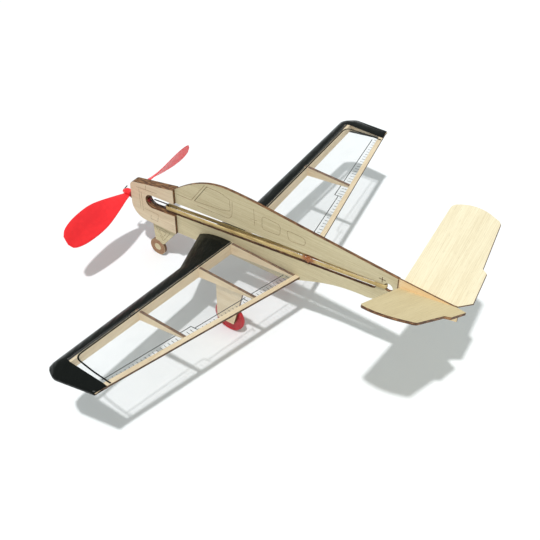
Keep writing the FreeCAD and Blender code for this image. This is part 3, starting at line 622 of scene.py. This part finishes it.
def blade(hand):
    """One blade as rings of points round its section, from the hub to the tip."""
    outwards = (SIDEWAYS * math.cos(PROP_PHASE) + UP * math.sin(PROP_PHASE)) * hand
    upwards = (UP * math.cos(PROP_PHASE) - SIDEWAYS * math.sin(PROP_PHASE)) * hand
    points, faces = [], []
    ring = 2 * BLADE_COLUMNS
    first, last = BLADE_SHARES[0], BLADE_SHARES[-1]
    for row in range(BLADE_ROWS + 1):
        share = first + (last - first) * math.sin(math.pi / 2 * row / BLADE_ROWS)
        pitch = math.atan2(PROP_PITCH, math.tau * share * PROP_R)
        chord = upwards * math.cos(pitch) - AFT * math.sin(pitch)
        normal = chord.cross(outwards)
        leading = between(BLADE_SHARES, BLADE_LEADING, share)
        trailing = between(BLADE_SHARES, BLADE_TRAILING, share)
        thickness = BLADE_ROOT_THICKNESS + (BLADE_TIP_THICKNESS - BLADE_ROOT_THICKNESS) * share
        for step in range(ring):
            angle = math.tau * step / ring
            station = math.cos(angle)
            reach = leading if station > 0 else trailing
            swell = math.copysign(abs(math.sin(angle)) ** BLADE_FULLNESS, math.sin(angle)) * thickness / 2
            point = outwards * (share * PROP_R) + chord * (reach * station) + normal * swell
            points.append(HUB + point * MM)
    for row in range(BLADE_ROWS):
        for step in range(ring):
            after = (step + 1) % ring
            one, two = row * ring, (row + 1) * ring
            faces.append((one + step, one + after, two + after, two + step))
    faces.append(tuple(range(ring)))
    faces.append(tuple(BLADE_ROWS * ring + step for step in range(ring)))
    return points, faces


def joined(*shapes):
    """Several shapes, each points and faces, as one."""
    points, faces = [], []
    for more_points, more_faces in shapes:
        first = len(points)
        points += more_points
        faces += [tuple(first + corner for corner in face) for face in more_faces]
    return points, faces


prop_red = moulded("propeller_red", (0.90, 0.026, 0.034), (0.80, 0.018, 0.026), 0.34, 0.35)
prop_red.set(subsurface_weight=0.35, subsurface_scale=1.2 * MM, subsurface_radius=(1.0, 0.25, 0.25))
shapes = joined(turned(HUB_PROFILE, HUB, AFT, HUB_SEGMENTS), blade(PORT), blade(STARBOARD))
propeller = closed_mesh("moulded_propeller", *shapes, prop_red, smooth=True)
finished(propeller, "propeller", "red_propeller", "propeller")

# ---- Rubber motor --------------------------------------------------------------
# One flat strip of natural rubber, knotted into a loop.  It runs from the hook to the
# post behind the slot, one strand on each side of the fuselage, and is held at both
# ends.  The knot is stained darker.
RUBBER_HEIGHT = 2.3
RUBBER_THICKNESS = 0.9
STRAND_X = 1.65
KNOT_Y = 6.0
KNOT_SIZE = 0.56
KNOT_STEPS = 48
KNOT_BAND = (1.0, 0.8)
TAIL_BAND = (1.0, 0.5)
TAIL_STEPS = 5
STRAND_STEPS = 70
END_STEPS = 8
SLACK_WAVES = 2.3
SLACK_UP = 0.22
SLACK_ACROSS = 0.12
BAND_SECTION = [
    (1.0, 0.55), (0.72, 1.0), (-0.72, 1.0), (-1.0, 0.55),
    (-1.0, -0.55), (-0.72, -1.0), (0.72, -1.0), (1.0, -0.55),
]
CURE_GRAINS = (0.5, 0.08, 0.5)
TALC_GRAINS = (2.0, 0.8, 2.0)
STAIN_FROM_KNOT = (2.0, 7.0)
STAIN = (0.33, 0.07, 0.03)


def swept(path, up, height, thickness, closed):
    """A flat band with softened edges, swept along a path."""
    count, ring = len(path), len(BAND_SECTION)
    points, faces = [], []
    for index, centre in enumerate(path):
        before = path[index - 1] if closed or index else centre
        after = path[(index + 1) % count] if closed or index < count - 1 else centre
        side_way = (after - before).cross(up).normalized()
        rise = side_way.cross(after - before).normalized()
        for across, up_share in BAND_SECTION:
            reach = side_way * (across * thickness / 2) + rise * (up_share * height / 2)
            points.append(centre + reach * MM)
    for index in range(count if closed else count - 1):
        one, two = index * ring, (index + 1) % count * ring
        for corner in range(ring):
            after = (corner + 1) % ring
            faces.append((one + corner, one + after, two + after, two + corner))
    if not closed:
        faces.append(tuple(range(ring)))
        faces.append(tuple((count - 1) * ring + corner for corner in range(ring)))
    return points, faces


def on_line(aft, up=0.0, across=0.0):
    """A point counted in millimetres along, above and beside the thrust line."""
    return HUB + (AFT * aft + UP * up + SIDEWAYS * across) * MM


def aft_of_hub(y):
    """Distance along the thrust line at which it reaches a given Y, in millimetres."""
    return (y - HUB.y) / AFT.y / MM


def rubber_finish():
    """Dull tan rubber, dusted with talc and stained red-brown about the knot."""
    finish = Finish("rubber", specular_ior_level=0.3)
    ways = finish.ways()
    cure = finish.noise(ways, CURE_GRAINS, 3.0)
    talc = finish.noise(ways, TALC_GRAINS, 4.0, 0.7)
    strip = finish.mix(finish.step(cure, 0.4, 0.62), (0.58, 0.44, 0.19), (0.42, 0.29, 0.11))
    dusted = finish.mix(finish.step(talc, 0.5, 0.75) * 0.5, strip, (0.74, 0.66, 0.47))
    off_knot = abs(ways[1] - (DATUM.y / MM + KNOT_Y))
    stain = 1 - finish.step(off_knot, *STAIN_FROM_KNOT)
    finish.set(base_color=finish.mix(stain * 0.75, dusted, STAIN), roughness=0.6 + talc * 0.3)
    finish.relief(talc, 0.04)
    return finish


def motor_loop():
    """The loop's centre line: two slightly slack strands and a turn at each end."""
    low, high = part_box("rubber_motor")
    front = aft_of_hub(low.y) + STRAND_X + RUBBER_THICKNESS
    back = aft_of_hub(high.y) - STRAND_X - RUBBER_THICKNESS
    path = []
    for hand in (PORT, STARBOARD):
        for step in range(STRAND_STEPS + 1):
            t = step / STRAND_STEPS
            t = t if hand == PORT else 1 - t
            slack = math.sin(math.pi * t) * math.sin(math.tau * (SLACK_WAVES * t + 0.2 * hand))
            across = hand * (STRAND_X + SLACK_ACROSS * slack)
            path.append(on_line(front + (back - front) * t, SLACK_UP * slack, across))
        centre = back if hand == PORT else front
        for step in range(1, END_STEPS):
            angle = math.pi * step / END_STEPS
            across, along = math.cos(angle) * STRAND_X * hand, math.sin(angle) * STRAND_X * hand
            path.append(on_line(centre + along, 0, across))
    return path


def knot():
    """A tight overhand knot with two cut tails, on the port strand."""
    centre = aft_of_hub(place(0, KNOT_Y, 0).y)
    turns = []
    for step in range(KNOT_STEPS):
        angle = math.tau * step / KNOT_STEPS
        ring = 2 + math.cos(3 * angle)
        turns.append(on_line(
            centre + KNOT_SIZE * ring * math.cos(2 * angle),
            KNOT_SIZE * 0.9 * ring * math.sin(2 * angle),
            STRAND_X + KNOT_SIZE * 1.3 * math.sin(3 * angle),
        ))
    tails = []
    for direction in (1, -1):
        tail = []
        for step in range(TAIL_STEPS):
            across = STRAND_X + 0.3 + 0.12 * step * direction
            tail.append(on_line(centre + direction * (0.6 + 0.8 * step), 0.5 + 0.28 * step, across))
        tails.append(swept(tail, UP, *TAIL_BAND, False))
    return joined(swept(turns, UP, *KNOT_BAND, True), *tails)


rubber = rubber_finish()
motor = joined(swept(motor_loop(), UP, RUBBER_HEIGHT, RUBBER_THICKNESS, True), knot())
motor = closed_mesh("rubber_strip_motor", *motor, rubber, smooth=True)
finished(motor, "airframe", "rubber_strip", "rubber_motor")

# ---- Wing frame ----------------------------------------------------------------
# Spar, leading and trailing strips are thin sticks, and the ribs are slotted over
# the spar.  Everything is glued bare before the film goes on.
spar_balsa = balsa("spar_balsa", STICK_WOOD, SIDEWAYS, AFT_WAY, burn=STICK_WOOD)
strip_balsa = balsa("strip_balsa", STICK_WOOD, SIDEWAYS, UPWARDS, burn=DEEP_BURN)
rib_balsa = balsa("rib_balsa", STICK_WOOD, AFT_WAY, SIDEWAYS)
dress(spar_balsa, *on_both("wing_spar"))
dress(strip_balsa, *on_both("wing_leading_edge", "wing_trailing_edge"))
dress(rib_balsa, *on_both("root_rib", "middle_rib", "outer_rib", "tip_rib"))

# ---- Wing film -----------------------------------------------------------------
# A thin clear film is stretched over and under each wing and shrunk tight.  It is
# printed gloss black ahead of the spar, over the root glove and round the tip.
TIP_RIB_X = 145.0
SPAR_THICKNESS = 1.6
SPAR_Y = -51.2
SPAR_SWEEP = 0.019
SPAR_TOP = (2.3, 0.8)
SPAR_HEIGHT = (8.0, 5.6)
TE_WIDTH = 3.2
LE_Y = -64.2
LE_WIDTH = 3.0
LE_THICKNESS = 2.0
LE_DROP = 4.2
GLOVE_SPAN = 38.0
GLOVE_REACH = 14.8
GLOVE_DROP = 1.8
TIP_OVERHANG = 5.3
FILM = 0.15
FILM_WALL = 0.11
PRINT_STEPS = 7
PRINT_SETBACK = (0.1, 1.9)
WING_STATIONS = [
    1.0, 6.0, 11.0, 16.0, 21.0, 26.0, 31.0, 35.0, 38.0, 50.0, 62.0, 75.0, 88.0, 101.0, 114.0, 128.0,
]
PRINT_END_ROOT_SIDE = 140.9
PRINT_END_TE = 142.3
TIP_OUTLINE = [(148.5, -63.6), (150.6, -61.6), (152.1, -58.7), (153.2, -56.4), (153.5, -54.5)]
WRINKLE_GRAINS = (1.0, 1.0, 0.1)
DUST_GRAINS = (1.2, 1.2, 1.2)
SMEAR_GRAINS = (0.09, 0.16, 0.1)


def along_span(x, root, tip):
    """A size that runs evenly from the root to the tip rib."""
    return root + (tip - root) * x / TIP_RIB_X


def glove_share(x):
    """How far the root glove swells the wing: one at the middle, nothing outside it."""
    return max(0.0, 1 - x / GLOVE_SPAN)


def te_y(x):
    return -TE_SWEEP * x


def spar_y(x):
    return SPAR_Y - SPAR_SWEEP * x


def le_y(x):
    return LE_Y - GLOVE_REACH * glove_share(x)


def spar_top(x):
    return along_span(x, *SPAR_TOP)


def spar_bottom(x):
    return spar_top(x) - along_span(x, *SPAR_HEIGHT)


def le_top(x):
    return spar_top(x) - LE_DROP - GLOVE_DROP * glove_share(x)


def wing_top(x, y):
    """Height of the wood's upper side, straight behind the spar and curved ahead of it."""
    if y >= spar_y(x):
        return spar_top(x) * (te_y(x) - y) / (te_y(x) - spar_y(x)) + x * RISE
    share = (y - le_y(x)) / (spar_y(x) - le_y(x))
    return le_top(x) + (spar_top(x) - le_top(x)) * (1 - (1 - share) ** 3) + x * RISE


def wing_bottom(x, y):
    """Height of the wood's underside: strip, straight to the spar, straight to the strip."""
    le_low = le_top(x) - LE_THICKNESS
    te_front = te_y(x) - TE_WIDTH
    corners = [
        (le_y(x), le_low),
        (le_y(x) + LE_WIDTH, le_low),
        (spar_y(x) - SPAR_THICKNESS, spar_bottom(x)),
        (spar_y(x), spar_bottom(x)),
        (te_front, wing_top(x, te_front) - x * RISE - TE_THICKNESS),
        (te_y(x), -TE_THICKNESS),
    ]
    for (y0, z0), (y1, z1) in zip(corners, corners[1:]):
        if y <= y1:
            return z0 + (z1 - z0) * max(0.0, (y - y0) / (y1 - y0)) + x * RISE
    return corners[-1][1] + x * RISE


def print_edge(x):
    """Back edge of the black print, a little ahead of the spar."""
    return spar_y(x) - SPAR_THICKNESS - along_span(x, *PRINT_SETBACK)


def tip_x(y):
    """Outside of the wing tip at a distance aft."""
    te_x = TIP_RIB_X + TIP_OVERHANG
    outline = TIP_OUTLINE + [(te_x, te_y(te_x))]
    for (x0, y0), (x1, y1) in zip(outline, outline[1:]):
        if y <= y1:
            return x0 + (x1 - x0) * max(0.0, (y - y0) / (y1 - y0))
    return te_x


def tip_height(y):
    """Height of the tip plate's underside."""
    front = le_top(TIP_RIB_X) - LE_THICKNESS
    return front + (-TE_THICKNESS - front) * (y - LE_Y) / (te_y(TIP_RIB_X) - LE_Y)


def across_wing(x):
    """Distances aft of the film's lines at a station, with the print's ahead of the rest."""
    front, edge = le_y(x), print_edge(x)
    lines = [front + (edge - front) * step / PRINT_STEPS for step in range(PRINT_STEPS + 1)]
    lines += [spar_y(x) - SPAR_THICKNESS, spar_y(x), te_y(x) - TE_WIDTH, te_y(x)]
    return lines


def film_rows(upper):
    """Rows of points of one film, from the root to the tip, in millimetres.  The upper
    film is also wrapped round the front of the leading edge and the edge of the tip."""
    rows = []
    for station in WING_STATIONS + [None, TIP_RIB_X]:
        row = []
        count = len(across_wing(TIP_RIB_X))
        for column in range(count):
            x = station
            if station is None:
                aft = max(0.0, (column - PRINT_STEPS) / (count - 1 - PRINT_STEPS))
                x = PRINT_END_ROOT_SIDE + (PRINT_END_TE - PRINT_END_ROOT_SIDE) * aft
            y = across_wing(x)[column]
            row.append((x, y, wing_top(x, y) + FILM if upper else wing_bottom(x, y) - FILM))
        rows.append(row)
    front, back = LE_Y, te_y(TIP_RIB_X)
    tip_front, tip_back = TIP_OUTLINE[0][1], te_y(TIP_RIB_X + TIP_OVERHANG)
    edge = []
    for _, y, _ in rows[-1]:
        y_tip = tip_front + (tip_back - tip_front) * (y - front) / (back - front)
        x_tip = tip_x(y_tip)
        lift = TE_THICKNESS + FILM if upper else -FILM
        edge.append((x_tip, y_tip, tip_height(y_tip) + x_tip * RISE + lift))
    middle = [tuple((a + b) / 2 for a, b in zip(one, two)) for one, two in zip(rows[-1], edge)]
    rows += [middle, edge]
    if not upper:
        return rows
    rows.append([(x, y, z - TE_THICKNESS - FILM) for x, y, z in edge])
    wrapped = []
    for index, row in enumerate(rows):
        x, y, _ = row[0]
        outside = index >= len(rows) - 3
        foot = tip_height(y) if outside else le_top(x) - LE_THICKNESS
        wrapped.append([(x, y - FILM, foot + x * RISE)] + row)
    return wrapped


def film(name, rows, upper, hand, finishes):
    """A film's skin, with the print's cells black and the rest clear."""
    points = [place(x * hand, y, z) for row in rows for x, y, z in row]
    columns = len(rows[0])
    printed_columns = PRINT_STEPS + (1 if upper else 0)
    faces, indices = [], []
    flipped = upper == (hand == STARBOARD)
    for row in range(len(rows) - 1):
        for column in range(columns - 1):
            one, two = row * columns + column, (row + 1) * columns + column
            face = (one, two, two + 1, one + 1)
            faces.append(face[::-1] if flipped else face)
            printed = column < printed_columns or row >= len(WING_STATIONS)
            indices.append(0 if printed else 1)
    mesh = bpy.data.meshes.new(name)
    mesh.from_pydata(points, [], faces)
    for finish in finishes:
        mesh.materials.append(finish.material)
    mesh.polygons.foreach_set("material_index", indices)
    mesh.polygons.foreach_set("use_smooth", [index == 0 for index in indices])
    piece = bpy.data.objects.new(name, mesh)
    bpy.context.scene.collection.objects.link(piece)
    wall = piece.modifiers.new("film_thickness", "SOLIDIFY")
    wall.thickness = FILM_WALL * MM
    wall.offset = -1.0
    return piece


def black_print():
    """Gloss black print on film, with faint shrink wrinkles and dust."""
    finish = Finish("black_print", specular_ior_level=0.09)
    x, y, z = finish.ways()
    slanted = (x * 0.07 + y * 0.05, y * 0.22 - x * 0.12, z)
    wrinkles = finish.noise(slanted, WRINKLE_GRAINS, 3.0, 0.45)
    dust = finish.noise((x, y, z), DUST_GRAINS, 4.0, 0.7)
    ink = finish.mix(finish.step(dust, 0.6, 0.85) * 0.4, (0.0055, 0.0068, 0.006), (0.022, 0.024, 0.022))
    finish.set(base_color=ink, roughness=0.2 + dust * 0.2)
    finish.relief(wrinkles + dust * 0.01, 0.9)
    return finish


def clear_film():
    """Unprinted film: nearly invisible, with a soft gloss and a few dull smears."""
    finish = Finish("clear_film", specular_ior_level=0.6)
    smears = finish.noise(finish.ways(), SMEAR_GRAINS, 3.0)
    shade = finish.mix(finish.step(smears, 0.4, 0.7), (0.60, 0.63, 0.63), (0.48, 0.51, 0.51))
    finish.set(base_color=shade, roughness=0.1 + smears * 0.2, alpha=0.035 + smears * 0.03)
    finish.relief(smears, 0.2)
    return finish


black, clear = black_print(), clear_film()
for side, hand in SIDES.items():
    above = film(f"film_above_{side}", film_rows(True), True, hand, [black, clear])
    finished(above, "airframe", "printed_film", f"wing_film_upper_{side}")
    below = film(f"film_below_{side}", film_rows(False), False, hand, [black, clear])
    finished(below, "airframe", "printed_film", f"wing_film_lower_{side}")

# ---- Printed lines -------------------------------------------------------------
# The upper film also carries a black pinstripe along the spar and inside the tip.  The
# lower film carries the outlines of flap and aileron with short ticks, like rib marks.
STRIPE_WIDTH = 1.0
HINGE_WIDTH = 0.55
TICK_WIDTH = 0.34
TICK_LENGTH = 3.8
TICK_GAP = 1.7
TICK_SPACING = 2.8
PRINT_THICKNESS = 0.06
STRIPE_END_X = 137.3
STRIPE_BEND = 4.5
STRIPE_AHEAD = 0.8
PRINT_LIFT = FILM + 0.005
PATH_STEP = 8.0


def over_film(x, y):
    return wing_top(x, y) + PRINT_LIFT


def under_film(x, y):
    return wing_bottom(x, y) - PRINT_LIFT


def tick_jig():
    """Short marks set square to a path, evenly spaced and offset to one side."""
    lengths = dict.fromkeys(("Width", "Thickness", "Length", "Spacing"), "Float")
    jig = Jig("ticks", {**lengths, "Offset": "Vector", "Facing": "Vector"})
    marks = jig.node(
        "GeometryNodeCurveToPoints", {"mode": "LENGTH"},
        {"Curve": jig.curve, "Length": jig.sizes["Spacing"]},
    )
    size = jig.node(
        "ShaderNodeCombineXYZ", None,
        {"X": jig.sizes["Thickness"], "Y": jig.sizes["Length"], "Z": jig.sizes["Width"]},
    )
    bar = jig.node("GeometryNodeMeshCube", None, {"Size": size.outputs[0]})
    shifted = jig.node(
        "GeometryNodeTransform", None,
        {"Geometry": bar.outputs["Mesh"], "Translation": jig.sizes["Offset"]},
    )
    placed = {name: marks.outputs[name] for name in ("Points", "Rotation")}
    bars = jig.node("GeometryNodeInstanceOnPoints", None, {**placed, "Instance": shifted.outputs[0]})
    jig.end(bars.outputs[0])
    return jig


def wing_paths(lines, height):
    """Paths on both wings' film, each line given by its corners and their radius."""
    paths = []
    for corners, radius in lines:
        turns = rounded([Vector(corner) for corner in corners], radius)
        points = [turns[0]]
        for start, end in zip(turns, turns[1:]):
            parts = math.ceil((end - start).length / PATH_STEP)
            points += [start.lerp(end, (part + 1) / parts) for part in range(parts)]
        port = [place(x, y, height(x, y)) for x, y in points]
        starboard = [Vector((-point.x, point.y, point.z)) for point in reversed(port)]
        paths += [(port, False), (starboard, False)]
    return paths


def hinge(x, ahead):
    """A point some way ahead of the trailing edge."""
    return (x, te_y(x) - ahead)


stripe_corners = [(x, spar_y(x) - STRIPE_AHEAD) for x in (1.5, 40.0, 90.0, STRIPE_END_X)]
stripe_corners += [(139.1, -40.0), hinge(139.5, TE_WIDTH), hinge(139.6, 0.4)]
root_line = [hinge(3.4, 9.9), hinge(34.0, 8.9)]
flap_ends = [[hinge(37.6, 8.8), hinge(38.2, 5.0)], [hinge(76.2, 10.0), hinge(76.4, 4.6)]]
flap_line = [hinge(36.0, 8.8), hinge(76.2, 7.2)]
aileron_line = [hinge(76.2, 10.0), hinge(86.0, 9.6), hinge(139.4, 7.4)]
print_values = {"Thickness": PRINT_THICKNESS * MM, "Facing": UPWARDS, "Finish": black.material}
stripe_paths = wing_paths([(stripe_corners, STRIPE_BEND)], over_film)
stripes = strips.make("pinstripes", stripe_paths, Width=STRIPE_WIDTH * MM, **print_values)
finished(stripes, "airframe", "printed_film")
hinge_lines = [(line, 0) for line in (root_line, *flap_ends, flap_line, aileron_line)]
hinge_paths = wing_paths(hinge_lines, under_film)
hinges = strips.make("hinge_lines", hinge_paths, Width=HINGE_WIDTH * MM, **print_values)
finished(hinges, "airframe", "printed_film")
tick_runs = [root_line, [hinge(39.6, 8.7), hinge(75.0, 7.3)], [hinge(78.4, 9.9), *aileron_line[1:]]]
tick_paths = wing_paths([(run, 0) for run in tick_runs], under_film)
ticks = tick_jig().make(
    "rib_ticks", tick_paths,
    Width=TICK_WIDTH * MM, Length=TICK_LENGTH * MM, Spacing=TICK_SPACING * MM,
    Offset=(0, -(TICK_GAP + TICK_LENGTH / 2) * MM, 0), **print_values
)
finished(ticks, "airframe", "printed_film")

# ---- Main undercarriage --------------------------------------------------------
# A flat balsa strut is glued beside each middle rib.  A red moulded disc wheel runs
# on a steel pin pressed through its foot.
WHEEL_PROFILE = [
    (0.0, 0.56), (0.0, 2.2), (0.25, 2.5), (0.25, 9.4),
    (0.0, 9.8), (0.0, 10.4), (0.18, 10.82), (0.6, 11.0),
    (1.8, 11.0), (2.22, 10.82), (2.4, 10.4), (2.4, 9.8),
    (2.15, 9.4), (2.15, 2.5), (2.4, 2.2), (2.4, 0.56),
]
WHEEL_SEGMENTS = 96
WHEEL_SOFTNESS = 0.08
SOFT_SEGMENTS = 2
SHARP_FROM = 40


def softened(piece, width):
    """Rounds a piece's sharp edges a little."""
    bevel = piece.modifiers.new("softened", "BEVEL")
    bevel.width = width * MM
    bevel.segments = SOFT_SEGMENTS
    bevel.limit_method = "ANGLE"
    bevel.angle_limit = math.radians(SHARP_FROM)
    return piece


dress(rib_balsa, *on_both("main_gear_strut"))
wheel_red = moulded("wheel_red", (0.56, 0.012, 0.022), (0.42, 0.008, 0.015), 0.42)
for side, hand in SIDES.items():
    low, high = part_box(f"main_wheel_{side}")
    inner_face = low.x if hand == PORT else high.x
    hub_centre = Vector((inner_face, (low.y + high.y) / 2, (low.z + high.z) / 2))
    disc = turned(WHEEL_PROFILE, hub_centre, SIDEWAYS * hand, WHEEL_SEGMENTS)
    wheel = closed_mesh(f"disc_wheel_{side}", *disc, wheel_red)
    softened(wheel, WHEEL_SOFTNESS)
    finished(wheel, f"{side}_wheel", "red_wheel", f"main_wheel_{side}")

# ---- Wing tips -----------------------------------------------------------------
# Outside the last rib a thin balsa plate carries the film round the rounded tip.
TIP_INSET = 0.3
TIP_COLUMNS = 16


def tip_plate(hand):
    """The plate's points and faces, a little inside the film that covers it."""
    points, faces = [], []
    front, back = TIP_OUTLINE[0][1] + TIP_INSET, te_y(TIP_RIB_X) - TIP_INSET
    for column in range(TIP_COLUMNS + 1):
        y = front + (back - front) * column / TIP_COLUMNS
        for x in (TIP_RIB_X, max(tip_x(y) - TIP_INSET, TIP_RIB_X + TIP_INSET)):
            low = tip_height(y) + x * RISE
            heights = (low + TIP_INSET, low + TE_THICKNESS - TIP_INSET)
            points += [place(x * hand, y, z) for z in heights]
    for column in range(TIP_COLUMNS):
        one, two = column * 4, column * 4 + 4
        faces += [(one + a, one + b, two + b, two + a) for a, b in ((0, 1), (1, 3), (3, 2), (2, 0))]
    last = TIP_COLUMNS * 4
    faces += [(0, 1, 3, 2), (last, last + 1, last + 3, last + 2)]
    return points, faces


for side, hand in SIDES.items():
    plate = closed_mesh(f"tip_plate_{side}", *tip_plate(hand), strip_balsa)
    finished(plate, "airframe", "balsa", f"wing_tip_{side}")
